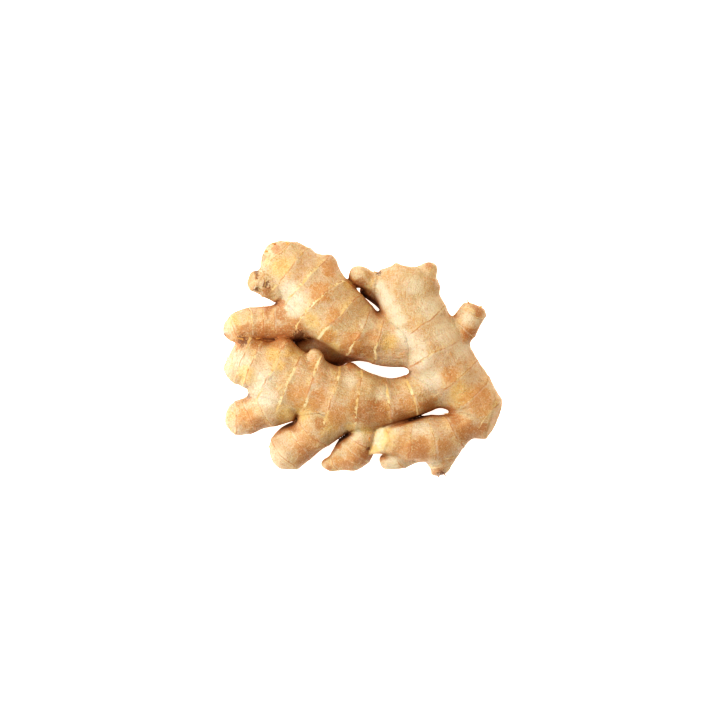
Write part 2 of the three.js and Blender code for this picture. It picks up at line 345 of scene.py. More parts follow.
class Lobe:
    """One lobe: its axis, sampled every half millimetre or so, and the formula of its skin."""

    # How far the section is out of round, as shares, and how far a ring leans, in millimetres.
    LUMP_TWO, LUMP_THREE = 0.035, 0.022
    SWAY_ONCE, SWAY_TWICE = 0.8, 0.45
    # How far past its skin a lobe still matters, and the samples between two stations.
    REACH = 9.0
    SAMPLES = 24
    # The last small rings, measured back from the tip, and the room that a full lip needs.
    TIP_RINGS = (6.5, 3.6, 1.4)
    FULL_ROOM = 4.5
    # A cut face is uneven and has a rounded edge.
    CUT_EDGE, CUT_ROUGH, CUT_BUMP = 0.8, 0.25, 2.6
    # How far a ring wanders from its plane and how much it shivers; each with its bump.
    WANDER, WANDER_BUMP = 0.4, 7
    SHIVER, SHIVER_BUMP = 0.15, 2.5
    # A lip's steep foot, and the lengthwise wrinkles and furrows of the skin.
    LIP_FOOT = 0.7
    WRINKLE, WRINKLE_BUMP = 0.04, 1.6
    FURROW, FURROW_BUMP = 0.09, 3.6

    def __init__(
        self, name, stations, grows_from=None, scars=(), caps=None, blunt=2, cut=None, lip=0.45, fillet=6
    ):
        self.grows_from, self.blunt, self.lip, self.fillet = grows_from, blunt, lip, fillet
        self.cut = cut or {}
        self.seed = sum(map(ord, name))
        knots = np.array(stations, float) - (*MIDDLE_MM, 0, 0, 0)
        knots = np.vstack([2 * knots[0] - knots[1], knots, 2 * knots[-1] - knots[-2]])
        t = np.linspace(0, 1, self.SAMPLES, endpoint=False)[:, None]
        samples = []
        for before, start, end, after in zip(knots, knots[1:], knots[2:], knots[3:]):
            leave, arrive = (end - before) / 2, (after - start) / 2
            samples.append(
                (2 * t**3 - 3 * t**2 + 1) * start + (t**3 - 2 * t**2 + t) * leave
                + (3 * t**2 - 2 * t**3) * end + (t**3 - t**2) * arrive
            )
        samples = np.vstack([*samples, knots[-2:-1]])
        self.axis, self.size = samples[:, :3], samples[:, 3:]
        steps = np.linalg.norm(np.diff(self.axis, axis=0), axis=1)
        self.distance = np.concatenate([[0], np.cumsum(steps)])
        self.length = self.distance[-1]
        self.tangent = np.gradient(self.axis, self.distance, axis=0)
        self.root_cap, self.tip_cap = caps or (3, stations[-1][4])
        if len(scars) > 1 and not cut:
            ends = [self.length - spare for spare in self.TIP_RINGS]
            scars = [*scars, *(end for end in ends if end > scars[-1] + 2)]
        self.scars = np.array(scars, float)
        bounds = np.concatenate([[0], self.scars, [self.length]])
        self.room = np.diff(bounds) / 2

    def along(self, values, s):
        """The values of the samples, read at distances s from the lobe's root."""
        return np.stack([np.interp(s, self.distance, column) for column in values.T], axis=1)

    def frame(self, s):
        """The axis point at each distance s, and the unit vectors along, across and up there."""
        tangent = self.along(self.tangent, s)
        tangent /= np.linalg.norm(tangent, axis=1, keepdims=True)
        side = np.cross(tangent, (0, 0, 1.0))
        side /= np.linalg.norm(side, axis=1, keepdims=True)
        return self.along(self.axis, s), tangent, side, np.cross(side, tangent)

    def near(self, points):
        """Which points are close enough for this lobe's skin to matter."""
        margin = self.size.max() + self.REACH
        low, high = self.axis.min(axis=0) - margin, self.axis.max(axis=0) + margin
        return np.flatnonzero(np.all((points > low) & (points < high), axis=1))

    def past_end(self, s):
        """0 along the middle of the lobe, rising to 1 at its two ends and on beyond them."""
        rooted, tipped = 1 - s / self.root_cap, 1 - (self.length - s) / self.tip_cap
        return np.maximum(0, np.maximum(rooted, tipped))

    def place(self, points):
        """Each point's distance along the lobe, sideways place, height, and share of the way out."""
        coarse = self.axis[::3]
        nearest = ((points[:, None, :] - coarse) ** 2).sum(axis=2).argmin(axis=1) * 3
        s = self.distance[nearest]
        for _ in range(2):
            centre, tangent, _, _ = self.frame(s)
            s = np.clip(s + ((points - centre) * tangent).sum(axis=1), 0, self.length)
        centre, tangent, side, up = self.frame(s)
        off = points - centre
        s = s + (off * tangent).sum(axis=1)
        across, rise = (off * side).sum(axis=1), (off * up).sum(axis=1)
        size = self.along(self.size, np.clip(s, 0, self.length))
        angle = np.arctan2(rise / size[:, 1], across / size[:, 0])
        sway = self.SWAY_ONCE * np.sin(angle + s / 9) + self.SWAY_TWICE * np.sin(2 * angle - s / 6)
        s = s - sway * (1 - self.past_end(s).clip(0, 1) ** 2)
        lumps = 1 + self.LUMP_TWO * np.sin(2 * angle + s / 11) + self.LUMP_THREE * np.sin(3 * angle - s / 7)
        return s, across, rise, np.hypot(across / size[:, 0], rise / size[:, 1]) / lumps

    def beyond_cut(self, points):
        """How far each point is past the plane of the lobe's cut end."""
        facing = np.array(self.cut["facing"]) / np.linalg.norm(self.cut["facing"])
        return (points - np.array(self.cut["at"]) + (*MIDDLE_MM, 0)) @ facing

    def gap(self, points, placed):
        """How far each point is outside the lobe's skin, and less than 0 inside it."""
        s, across, rise, out = placed
        past = self.past_end(s)
        radius = (np.hypot(across, rise) / out.clip(1e-3)).clip(0.5)
        cap = np.where(s < self.length / 2, self.root_cap, self.tip_cap)
        level = (out**self.blunt + past**self.blunt) ** (1 / self.blunt)
        slope = np.sqrt((out / radius) ** 2 + (past / cap) ** 2) / np.hypot(out, past).clip(1e-6)
        gap = (level - 1) / slope.clip(1e-3)
        if self.cut:
            rough = self.beyond_cut(points) - self.CUT_ROUGH * uneven(points, self.CUT_BUMP, 8)
            gap = -soft_least(-gap, -rough, self.CUT_EDGE)
        return gap

    def scar_offset(self, s, across, rise):
        """Distance past the nearest ring scar, which wanders a little, and that scar's number."""
        around = np.stack([across, rise, 0.3 * s], axis=1)
        wander = self.WANDER * uneven(around, self.WANDER_BUMP, self.seed)
        wander = wander + self.SHIVER * uneven(around, self.SHIVER_BUMP, self.seed + 1)
        past = (s + wander)[:, None] - self.scars
        ring = np.abs(past).argmin(axis=1)
        return np.take_along_axis(past, ring[:, None], axis=1)[:, 0], ring

    def relief(self, s, across, rise):
        """How far the ring scars and the lengthwise wrinkles stand out from the plain tube."""
        past, ring = self.scar_offset(s, across, rise)
        around = np.stack([across, rise, 0.2 * s], axis=1)
        lip = self.lip * (1 + 0.4 * uneven(around, 8, self.seed + 2)).clip(0.3, 2)
        lip *= (self.room[ring] / self.FULL_ROOM).clip(0.25, 1)
        before = (1 + past / self.room[ring]).clip(0, 1) ** 1.5
        behind = (1 - past / self.room[ring + 1]).clip(0, 1) ** 1.5
        behind = 0.5 * (1 - past / self.LIP_FOOT).clip(0, 1) + 0.5 * behind
        grain = np.stack([s / 7, across, rise], axis=1)
        wrinkles = self.WRINKLE * uneven(grain, self.WRINKLE_BUMP, self.seed + 3)
        wrinkles = wrinkles + self.FURROW * uneven(grain, self.FURROW_BUMP, self.seed + 4)
        return lip * np.where(past <= 0, before, behind) + wrinkles


lobes = {name: Lobe(name, **facts) for name, facts in LOBES.items()}
ORDER = {name: row for row, name in enumerate(lobes)}
FAR = 30.0
CREASE_FILLET_MM = 1.5
TABLE_FILLET_MM = 0.6
CHUNK = 60000


def skin_gap(points):
    """How far each point is outside the whole root, with a fillet where a lobe grows from another."""
    gaps = np.full((len(lobes), len(points)), FAR)
    for row, lobe in zip(gaps, lobes.values()):
        close = lobe.near(points)
        if len(close):
            row[close] = lobe.gap(points[close], lobe.place(points[close]))
    joined = soft_least(*np.partition(gaps, 1, axis=0)[:2], CREASE_FILLET_MM)
    for name, lobe in lobes.items():
        if lobe.grows_from:
            pair = soft_least(gaps[ORDER[name]], gaps[ORDER[lobe.grows_from]], lobe.fillet)
            joined = np.minimum(joined, pair)
    return -soft_least(-joined, points[:, 2], TABLE_FILLET_MM)


def gap_at(points):
    """skin_gap of many points, a chunk at a time."""
    return np.concatenate([skin_gap(part) for part in np.array_split(points, len(points) // CHUNK + 1)])


# The plain skin is found on a fine grid near the surface, which OpenVDB turns into even faces.
FACE_MM = 0.75
BLOCK_FACES = 2
NEAR_BLOCKS = 1.8
EDGE_MM = 3.0

block_mm = FACE_MM * BLOCK_FACES
lowest = np.array(cad_low) / MM - EDGE_MM
blocks = np.ceil((np.array(cad_high) / MM + EDGE_MM - lowest) / block_mm).astype(int)
block_middles = np.indices(blocks).reshape(3, -1).T * block_mm + FACE_MM * (BLOCK_FACES - 1) / 2
field = gap_at(block_middles + lowest).reshape(blocks)
for axis in range(3):
    field = field.repeat(BLOCK_FACES, axis=axis)
close = np.argwhere(np.abs(field) < NEAR_BLOCKS * block_mm)
field = field.clip(-EDGE_MM, EDGE_MM)
field[tuple(close.T)] = gap_at(close * FACE_MM + lowest)
grid = vdb.FloatGrid(EDGE_MM)
grid.copyFromArray(field.astype(np.float32))
corners, faces = grid.convertToQuads(isovalue=0.0)
places = corners.astype(float) * FACE_MM + lowest


def new_piece(name, places, faces):
    """An object with these corners, given in millimetres, and faces; it alone is selected."""
    mesh = bpy.data.meshes.new(name)
    mesh.from_pydata(places * MM, [], faces)
    piece = bpy.data.objects.new(name, mesh)
    bpy.context.collection.objects.link(piece)
    bpy.ops.object.select_all(action="DESELECT")
    piece.select_set(True)
    bpy.context.view_layer.objects.active = piece
    return piece


body = new_piece("ginger_body", places, faces)
mesh = body.data
normals = np.empty(places.size, np.float32)
mesh.vertices.foreach_get("normal", normals)
normals = normals.reshape(-1, 3)

# Each corner learns where it sits on its lobe. Knobs without scars take their lobe's marks.
SOFT_SEAM_MM = 1.0
SEAM_MM = 4.0
OPEN_STEPS_MM = (1.5, 4, 8)
SCAR_FADE_MM = 3.0
AFTER_FADE_MM = 12.0
TIP_FADE_MM = 20.0
CUT_FADE_MM = 0.8
FRESH_FADE_MM = 7.0
ROT_START_MM, ROT_FADE_MM = 6.0, 5.0

count = len(places)
marks = {name: np.zeros(count) for name in ("scar", "after", "tone", "cut", "fresh", "rotten")}
marks["tip"] = np.full(count, TIP_FADE_MM)
grain = np.zeros((count, 3))
least, second = np.full(count, FAR), np.full(count, FAR)
shares, lift = np.zeros(count), np.zeros(count)
for lobe in lobes.values():
    if not len(lobe.scars):
        continue
    rows = lobe.near(places)
    s, across, rise, out = placed = lobe.place(places[rows])
    gap = lobe.gap(places[rows], placed)
    share = np.exp(-gap.clip(0) / SOFT_SEAM_MM)
    shares[rows] += share
    lift[rows] += share * lobe.relief(s, across, rise)
    own = gap < least[rows]
    second[rows] = np.where(own, least[rows], np.minimum(second[rows], gap))
    rows, s, across, rise = rows[own], s[own], across[own], rise[own]
    least[rows] = gap[own]
    grain[rows] = np.stack([s, across, rise], axis=1)
    past, _ = lobe.scar_offset(s, across, rise)
    marks["scar"][rows] = past.clip(-SCAR_FADE_MM, SCAR_FADE_MM)
    starts = np.concatenate([[0], lobe.scars])
    joint = (s[:, None] > starts).sum(axis=1) - 1
    marks["after"][rows] = (s - starts[joint]).clip(0, AFTER_FADE_MM)
    marks["tone"][rows] = np.random.default_rng(lobe.seed).uniform(size=len(starts) + 1)[joint]
    marks["tip"][rows] = TIP_FADE_MM if lobe.cut else (lobe.length - s).clip(0, TIP_FADE_MM)
    if lobe.cut:
        beyond = lobe.beyond_cut(places[rows])
        marks["cut"][rows] = (1 + beyond / CUT_FADE_MM).clip(0, 1)
        marks["fresh"][rows] = (1 + beyond / FRESH_FADE_MM).clip(0, 1) * lobe.cut.get("fresh", 0)
        rot = ((s - ROT_START_MM) / ROT_FADE_MM).clip(0, 1)
        marks["rotten"][rows] = rot * lobe.cut.get("rotten", 0)
    else:
        for name in ("cut", "fresh", "rotten"):
            marks[name][rows] = 0
lift /= shares.clip(1e-6)
marks["seam"] = (1 - (second - least) / SEAM_MM).clip(0, 1)

# Low lumps all over the root: height, bump and seed.
LUMPS = [(0.55, 14, 5), (0.26, 6, 6), (0.08, 2.4, 7)]
# How closed in each corner is, looked for along its normal. The crevice mark paints shade into the creases,
# adds roughness there and keeps the lumps and scars out of them.
closed_in = np.zeros(count)
for reach in OPEN_STEPS_MM:
    closed_in += (1 - gap_at(places + normals * reach) / reach).clip(0, 1) / len(OPEN_STEPS_MM)
marks["crevice"] = closed_in
# How far each corner faces sideways rather than up; the skin there gets a painted shade of rust brown.
marks["side"] = 1 - normals[:, 2].clip(0, 1)
lumps = sum(height * uneven(places, bump, seed) for height, bump, seed in LUMPS)
calm = (1 - closed_in) * (1 - marks["cut"])
places += ((lift + lumps) * calm)[:, None] * normals
places[:, 2] = places[:, 2].clip(0)
mesh.vertices.foreach_set("co", (places * MM).astype(np.float32).ravel())
mesh.update()

# Stains and bare spots seen from above: x, y, radius. Ash is dry and grey, gold is newly bared.
# Pale spots are painted highlight: they lie on slopes that face the key light, and a row of them
# paints the sheen along the stem. Amber and bruise spots are partly brown skin and partly painted
# shade on the lower flanks and between the lobes. They fade out down the flanks, so that none
# shows on the underside.
SPOT_FOOT_MM, SPOT_FADE_MM = 6.0, 8.0
SPOTS = {
    "gold": [
        (-43, 48, 10), (-46, 3, 7), (-43, -3, 6), (-30, -25, 8), (-67, 20, 6), (-18, 13, 7),
        (-3, 6, 5), (-40, -28, 8), (50, -18, 10), (-18, -34, 9), (-60, -8, 8), (13, 9, 7),
        (-26, 20, 7), (-38, 4, 5), (-15, 6, 6), (-7, 39, 5), (-6, -36, 6), (1, -36, 5), (-32, -28, 7),
    ],
    "ash": [
        (-66, 14, 7), (-64, -34, 6), (-43, -50, 6), (-56, 33, 5), (14, -55, 5), (-2, 44, 4),
        (38, -56, 6), (-46, 56, 5),
    ],
    "painted_highlight": [
        (-36, 29, 12), (-38, 36, 8), (-52, -10, 12), (-50, -20, 9), (10.5, 34, 6), (13, 30, 6),
        (16, 25.5, 6), (18.5, 20.5, 6), (20, 13, 6), (23.5, 10, 7), (28, 7, 7), (30, 0, 9),
        (-62, -2, 9), (-33, -41, 6), (30, -36, 8), (55, 20, 7), (15, -54, 6), (-15, -44, 5),
        (42, 14, 11), (34, 26, 10), (26, 38, 8), (9, 38, 4), (-7, -11, 6), (3, 13, 6), (10, -18, 7),
        (-40, -28, 7), (35, -10, 9), (8, 30, 8), (51, 5, 7), (2, 18, 6), (-4, -37, 8), (18, -36, 5),
    ],
    "stain": [
        (-17.5, 53, 3), (34, 48.5, 3.5), (39, -59, 6), (-6.5, -3, 4), (-63, 8.5, 6), (-57.5, 42.5, 4),
        (-49, 35, 4), (59, 27, 4), (54, 13, 4), (-71, 12, 3), (-42, 29, 4), (-36, -36, 4),
        (-60, -20, 4), (-18, -57, 4), (45, -27, 5), (-2, 39, 5), (-52.5, 53, 4), (-45, 57, 4),
        (-54, 6, 3), (48, -31, 5), (-50, 26, 3.5), (-41, 13, 7), (-6, 4, 5), (-5, -3, 3),
        (-13, -45, 3), (62, -35, 4),
    ],
    "amber_and_shade": [
        (-33, -18, 9), (-24, -21, 9), (-24, -3, 6), (-13, -29, 9), (-4, -26, 8), (10, -27, 9),
        (24, -25, 9), (-18, 12, 6), (-5, 8, 10), (4, 12, 6), (45, -8, 7), (59, -21, 12), (-36, 17, 8),
        (-60, -31, 9), (-30, -43, 11), (29, -46, 11), (42, -45, 8), (52, -36, 9), (-3, -50, 9),
        (55, 13, 8), (-15, 22, 7), (-17, 47, 6), (-22, 34, 8), (-50, 14, 9), (-12, -54, 6),
        (25, -50, 5), (18, -45, 9), (-65, 13, 6),
    ],
    "bruise_and_shade": [
        (-53, -35, 8), (-30, -50, 8), (2, -51, 8), (29, -47, 8), (56, -38, 9), (57, 13, 6),
        (-8, -56, 5), (-36, 13, 11), (-44, 12, 10), (-53, 12, 9), (-59, 14, 6), (-22, -33, 5),
        (2, -27, 11), (18, -30, 8), (34, -24, 6), (3, 4, 6), (-6, 4, 8), (10, -28, 6), (-57, 44, 5),
        (-57.5, 38, 3), (60, 24, 4), (58, 29, 3.5), (-49, 26, 4), (-43, 23.5, 5),
    ],
    "dirt": [
        (-56, 45, 4.5), (-49.8, 39, 3.5), (-55, 36.5, 2.5), (-55, 42.4, 2), (-72.5, 13, 2),
        (3, -46, 2.5), (41, -60, 4.5), (58, 30, 2.5), (-62, 10, 6), (-33, 12, 6), (-59, -19, 2.5),
        (-8.5, -38.5, 3), (24, -6.5, 2.5), (8, 45, 3), (34, 51, 2),
    ],
}
top = ((places[:, 2] - SPOT_FOOT_MM) / SPOT_FADE_MM).clip(0, 1)
for name, spots in SPOTS.items():
    marks[name] = np.zeros(count)
    for x, y, radius in spots:
        off = np.hypot(places[:, 0] - x, places[:, 1] - y) / radius
        marks[name] = np.maximum(marks[name], (1 - off).clip(0, 1) * top)
grain_mark = mesh.attributes.new("grain", "FLOAT_VECTOR", "POINT")
grain_mark.data.foreach_set("vector", grain.astype(np.float32).ravel())
for name, values in marks.items():
    mesh.attributes.new(name, "FLOAT", "POINT").data.foreach_set("value", values.astype(np.float32))

bpy.ops.object.shade_smooth()
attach(body, "root")
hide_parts("ginger_root")


class Wire:
    """A socket of a material's nodes. Arithmetic on wires and numbers adds Math nodes."""

    def __init__(self, socket):
        self.socket = socket

    @classmethod
    def node(cls, tree, kind, settings, inputs, output=0):
        """An output of a new node; its inputs are given as wires or as values."""
        node = tree.nodes.new("ShaderNode" + kind)
        for name, value in settings.items():
            setattr(node, name, value)
        for key, value in inputs.items():
            if isinstance(value, Wire):
                tree.links.new(value.socket, node.inputs[key])
            else:
                node.inputs[key].default_value = value
        return cls(node.outputs[output])

    def math(self, operation, *values):
        return Wire.node(self.socket.id_data, "Math", {"operation": operation}, dict(enumerate(values)))

    def __add__(self, other):
        return self.math("ADD", self, other)

    __radd__ = __add__

    def __sub__(self, other):
        return self.math("SUBTRACT", self, other)

    def __rsub__(self, other):
        return self.math("SUBTRACT", other, self)

    def __mul__(self, other):
        return self.math("MULTIPLY", self, other)

    __rmul__ = __mul__

    def __abs__(self):
        return self.math("ABSOLUTE", self)

    def ramp(self, low, high):
        """0 up to low, 1 from high on, and smooth between; the other way round if low > high."""
        inputs = {"Value": self, "From Min": low, "From Max": high}
        return Wire.node(self.socket.id_data, "MapRange", {"interpolation_type": "SMOOTHSTEP"}, inputs)

    def blend(self, first, second):
        """The first colour where this wire is 0 and the second where it is 1."""
        inputs = {0: self, 6: first, 7: second}
        return Wire.node(self.socket.id_data, "Mix", {"data_type": "RGBA"}, inputs, output=2)

    def stretched(self, scale):
        """This vector, multiplied part by part."""
        return Wire.node(self.socket.id_data, "VectorMath", {"operation": "MULTIPLY"}, {0: self, 1: scale})

    def noise(self, scale, detail=2, roughness=0.5):
        """Cloudy noise from 0 to 1 on this vector, in bumps for each of its units."""
        inputs = {"Vector": self, "Scale": scale, "Detail": detail, "Roughness": roughness}
        return Wire.node(self.socket.id_data, "TexNoise", {}, inputs)


def mark(tree, name, output=2):
    """A wire that reads one of the mesh's marks."""
    return Wire.node(tree, "Attribute", {"attribute_name": name}, {}, output)


def new_finish(name):
    """A new material, its node tree, its Principled shader and a place on the root in millimetres."""
    finish = bpy.data.materials.new(name)
    finish.use_nodes = True
    tree = finish.node_tree
    place = Wire.node(tree, "TexCoord", {}, {}, output=3).stretched((1 / MM, 1 / MM, 1 / MM))
    return finish, tree, tree.nodes["Principled BSDF"], place


# Skin: thin, dry and fibrous over pale flesh; golden where a scale leaf covered it longest.
TAN = (0.55, 0.415, 0.255, 1)
DEEP_TAN = (0.53, 0.28, 0.105, 1)
ROSY = (0.585, 0.44, 0.315, 1)
GOLD = (0.67, 0.465, 0.185, 1)
PALE = (0.675, 0.59, 0.465, 1)
STRAW = (0.67, 0.555, 0.38, 1)
RUST_AND_SHADE = (0.42, 0.165, 0.045, 1)
DIRT_AND_SHADE = (0.15, 0.05, 0.014, 1)
ASH = (0.68, 0.57, 0.42, 1)
FLESH = (0.76, 0.65, 0.48, 1)
DRY_FLESH = (0.72, 0.52, 0.26, 1)
AMBER = (0.53, 0.24, 0.06, 1)
BRUISE_AND_SHADE = (0.40, 0.165, 0.045, 1)
BARK = (0.50, 0.30, 0.125, 1)

skin, tree, surface, place = new_finish("ginger_skin")
threads = mark(tree, "grain", output=1).stretched((0.3, 1, 1))
fibre = threads.noise(0.9, 3, 0.65)
speck = place.noise(1.4, 3, 0.7)
cloud = place.noise(0.08, 3, 0.55)
patch = place.noise(0.2, 4, 0.65)
blotch = place.noise(0.5, 3, 0.7)
scar, after, crevice = mark(tree, "scar"), mark(tree, "after"), mark(tree, "crevice")
tip, cut, rotten = mark(tree, "tip"), mark(tree, "cut"), mark(tree, "rotten")
clear = mark(tree, "seam").ramp(0.6, 0.1)
at_scar = abs(scar).ramp(2.6, 1.6) * clear * tip.ramp(1, 8)
worn = place.noise(0.13, 3, 0.6)
ragged = scar + 0.9 * (blotch - 0.5) + 0.5 * (speck - 0.5)

colour = (cloud + 0.25 * mark(tree, "tone") - 0.12).ramp(0.36, 0.64).blend(TAN, ROSY)
colour = (0.6 * patch.ramp(0.44, 0.7)).blend(colour, DEEP_TAN)
colour = (0.6 * clear * after.ramp(7, 0) * patch.ramp(0.6, 0.4)).blend(colour, GOLD)
# Painted highlight: the pale spots lighten the slopes that face the key light and paint a sheen along the
# stem.
colour = (0.9 * (mark(tree, "painted_highlight") + 0.8 * (patch - 0.5)).ramp(0.1, 0.7)).blend(colour, PALE)
colour = (0.4 * tip.ramp(9, 1) * patch.ramp(0.4, 0.55)).blend(colour, PALE)
colour = (0.55 * tip.ramp(6, 0) * blotch.ramp(0.52, 0.66)).blend(colour, RUST_AND_SHADE)
colour = (0.85 * (mark(tree, "gold") + patch - 0.5).ramp(0.1, 0.75)).blend(colour, GOLD)
colour = (0.6 * (mark(tree, "ash") + blotch - 0.5).ramp(0.15, 0.7)).blend(colour, ASH)
rot = blotch.ramp(0.4, 0.62).blend(ASH, BARK)
colour = (rotten * place.noise(0.3, 2, 0.6).ramp(0.3, 0.5)).blend(colour, rot)
# Amber and bruise spots: partly brown skin and partly painted shade on the lower flanks and between the
# lobes.
colour = (0.72 * (mark(tree, "amber_and_shade") + 1.1 * (patch - 0.5)).ramp(0.1, 0.65)).blend(colour, AMBER)
colour = (0.8 * (mark(tree, "bruise_and_shade") + 1.2 * (patch - 0.5)).ramp(0.1, 0.6)).blend(colour, BRUISE_AND_SHADE)
colour = (0.8 * (mark(tree, "stain") + 1.2 * (blotch - 0.5)).ramp(0.2, 0.65)).blend(colour, RUST_AND_SHADE)
# Painted shade: the flanks that face sideways are blended toward rust brown.
colour = (0.45 * mark(tree, "side").ramp(0.35, 1.0)).blend(colour, RUST_AND_SHADE)
colour = (0.5 * fibre.ramp(0.5, 0.75) * clear).blend(colour, DEEP_TAN)
colour = (0.42 * fibre.ramp(0.5, 0.25) * clear).blend(colour, STRAW)
grainy = 1 - 0.7 * mark(tree, "painted_highlight")
colour = (0.95 * grainy * speck.ramp(0.5, 0.7)).blend(colour, DEEP_TAN)
colour = (0.9 * speck.ramp(0.5, 0.27)).blend(colour, STRAW)
colour = (0.75 * at_scar * abs(ragged - 0.1).ramp(0.55, 0.1) * worn.ramp(0.3, 0.5)).blend(colour, RUST_AND_SHADE)
colour = (0.4 * at_scar * abs(ragged + 0.4).ramp(0.9, 0.2) * worn.ramp(0.58, 0.4)).blend(colour, PALE)
# Painted shade: the closed-in creases are darkened to rust brown and then near black.
colour = (0.7 * crevice.ramp(0.25, 0.7)).blend(colour, RUST_AND_SHADE)
colour = (0.85 * crevice.ramp(0.65, 1.0)).blend(colour, DIRT_AND_SHADE)
soil = mark(tree, "dirt") + 1.5 * (blotch - 0.5) + 1.5 * (speck - 0.5)
colour = (0.75 * soil.ramp(0.4, 0.7)).blend(colour, DIRT_AND_SHADE)
colour = (cut * (0.6 + 0.4 * blotch)).blend(colour, BARK)
flesh = patch.ramp(0.35, 0.6).blend(FLESH, DRY_FLESH)
torn = mark(tree, "fresh") + 0.9 * (blotch - 0.5) + 0.9 * (patch - 0.5)
colour = (0.9 * torn.ramp(0.2, 0.9)).blend(colour, flesh)
tree.links.new(colour.socket, surface.inputs["Base Color"])
roughness = 0.36 + 0.14 * speck + 0.2 * patch.ramp(0.4, 0.7) + 0.3 * crevice.ramp(0.3, 0.7)
tree.links.new(roughness.socket, surface.inputs["Roughness"])
height = 0.5 * fibre + 0.7 * speck + 0.4 * blotch
bump = Wire.node(tree, "Bump", {}, {"Strength": 1.0, "Distance": 0.001, "Height": height})
tree.links.new(bump.socket, surface.inputs["Normal"])
surface.inputs["Specular IOR Level"].default_value = 1.0
surface.inputs["Subsurface Weight"].default_value = 0.25
surface.inputs["Subsurface Radius"].default_value = (1.0, 0.4, 0.15)
surface.inputs["Subsurface Scale"].default_value = 0.003
body.data.materials.append(skin)

# ---- Torn scale leaves -------------------------------------------------------------------
# Each ring scar keeps the dry, papery foot of the scale leaf that once wrapped the root there.
# Its edge is torn and points to the lobe's tip; long stretches have rubbed off altogether.
RING_STEP_MM = 0.38
LEAF_FOOT_MM = 0.3
LEAF_PAPER_MM = 0.09
LEAF_REACH_MM = 0.95
LEAST_LEAF_MM, WIDEST_LEAF_MM = 0.25, 1.5
LEAF_LIFT_MM, LEAF_SUNK_MM = 0.02, 0.08
# From foot to edge: the share of the width, and the share of the lift.
LEAF_PROFILE = ((0, 0), (0.5, 0.55), (1, 1))
# Leaves are full on a ring with this many steps and a lip this high; small rings have little.
FULL_RING_STEPS = 220
FULL_LIP_MM = 0.55
LEAST_ROOM_MM = 2.5
# A ring point counts when it lies on its own lobe's skin, on its scar, and in the open.
WIDEST_OFF = 1.3
SCAR_MISS_MM = 0.3
CLEAR_MM = 5.0
TABLE_CLEAR_MM = 0.8

skin_tree = BVHTree.FromPolygons((places * MM).tolist(), faces.tolist())


def ring_on_skin(lobe, number):
    """Points along one ring scar, the directions outward and tipward there, and which points count."""
    at = lobe.scars[number]
    centre, tangent, side, up = (part[0] for part in lobe.frame(np.array([at])))
    radius = lobe.along(lobe.size, np.array([at]))[0]
    turns = int(2 * math.pi * radius.mean() / RING_STEP_MM)
    angles = np.linspace(0, 2 * math.pi, turns, endpoint=False)
    outward = np.cos(angles)[:, None] * side + np.sin(angles)[:, None] * up
    shift = np.zeros(turns)
    hits, kept = np.zeros((turns, 3)), np.zeros(turns, bool)
    for _ in range(3):
        starts = centre + shift[:, None] * tangent
        for row in range(turns):
            place, normal, _, _ = skin_tree.ray_cast(Vector(starts[row] * MM), Vector(outward[row]))
            kept[row] = place is not None
            if kept[row]:
                hits[row] = np.array(place) / MM
        s, across, rise, out = lobe.place(hits)
        past, ring = lobe.scar_offset(s, across, rise)
        shift = (shift - np.where(ring == number, past + LEAF_FOOT_MM, 0)).clip(-3, 3)
    kept &= (out < WIDEST_OFF) & (ring == number) & (np.abs(past + LEAF_FOOT_MM) < SCAR_MISS_MM)
    return hits, outward, tangent, kept


leaf_places, leaf_faces = [], []
draw = np.random.default_rng(41)
for lobe in lobes.values():
    for number in range(len(lobe.scars)):
        if lobe.room[number] < LEAST_ROOM_MM:
            continue
        hits, outward, tangent, kept = ring_on_skin(lobe, number)
        turns = len(hits)
        torn = 0.45 + 0.75 * uneven(hits, 8, lobe.seed + 7 * number) + 0.3 * uneven(hits, 1.6, number)
        reach = LEAF_REACH_MM * (lobe.lip / FULL_LIP_MM) ** 2 * min(1, turns / FULL_RING_STEPS)
        width = reach * torn * draw.uniform(0.35, 1.3, turns)
        open_air = gap_at(hits + CLEAR_MM * outward) > 0.5 * CLEAR_MM
        kept &= (reach * torn > LEAST_LEAF_MM) & (hits[:, 2] > TABLE_CLEAR_MM) & open_air
        width = width.clip(0.5 * LEAST_LEAF_MM, WIDEST_LEAF_MM)
        lift = 0.03 + 0.12 * width * draw.uniform(0.3, 1, turns)
        start = len(leaf_places)
        for row in range(turns):
            for share, rise_share in LEAF_PROFILE:
                out_by = lift[row] * rise_share + (LEAF_LIFT_MM if share else -LEAF_SUNK_MM)
                leaf_places.append(hits[row] + tangent * width[row] * share + outward[row] * out_by)
        columns = len(LEAF_PROFILE)
        for row in range(turns):
            following = (row + 1) % turns
            if kept[row] and kept[following]:
                for column in range(columns - 1):
                    a, b = start + columns * row + column, start + columns * following + column
                    leaf_faces.append((a, b, b + 1, a + 1))
leaves = new_piece("torn_scale_leaves", np.array(leaf_places), leaf_faces)
bpy.ops.object.mode_set(mode="EDIT")
bpy.ops.mesh.select_all(action="SELECT")
bpy.ops.mesh.delete_loose()
bpy.ops.mesh.select_all(action="SELECT")
bpy.ops.mesh.normals_make_consistent(inside=False)
bpy.ops.object.mode_set(mode="OBJECT")
paper_wall = leaves.modifiers.new("paper", "SOLIDIFY")
paper_wall.thickness = LEAF_PAPER_MM * MM
paper_wall.offset = 1
bpy.ops.object.modifier_apply(modifier="paper")
bpy.ops.object.shade_smooth_by_angle(angle=math.radians(35))
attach(leaves, "root")

LEAF_PAPER = (0.74, 0.63, 0.43, 1)
OLD_PAPER = (0.66, 0.49, 0.26, 1)
PAPER_SPECK = (0.50, 0.26, 0.08, 1)

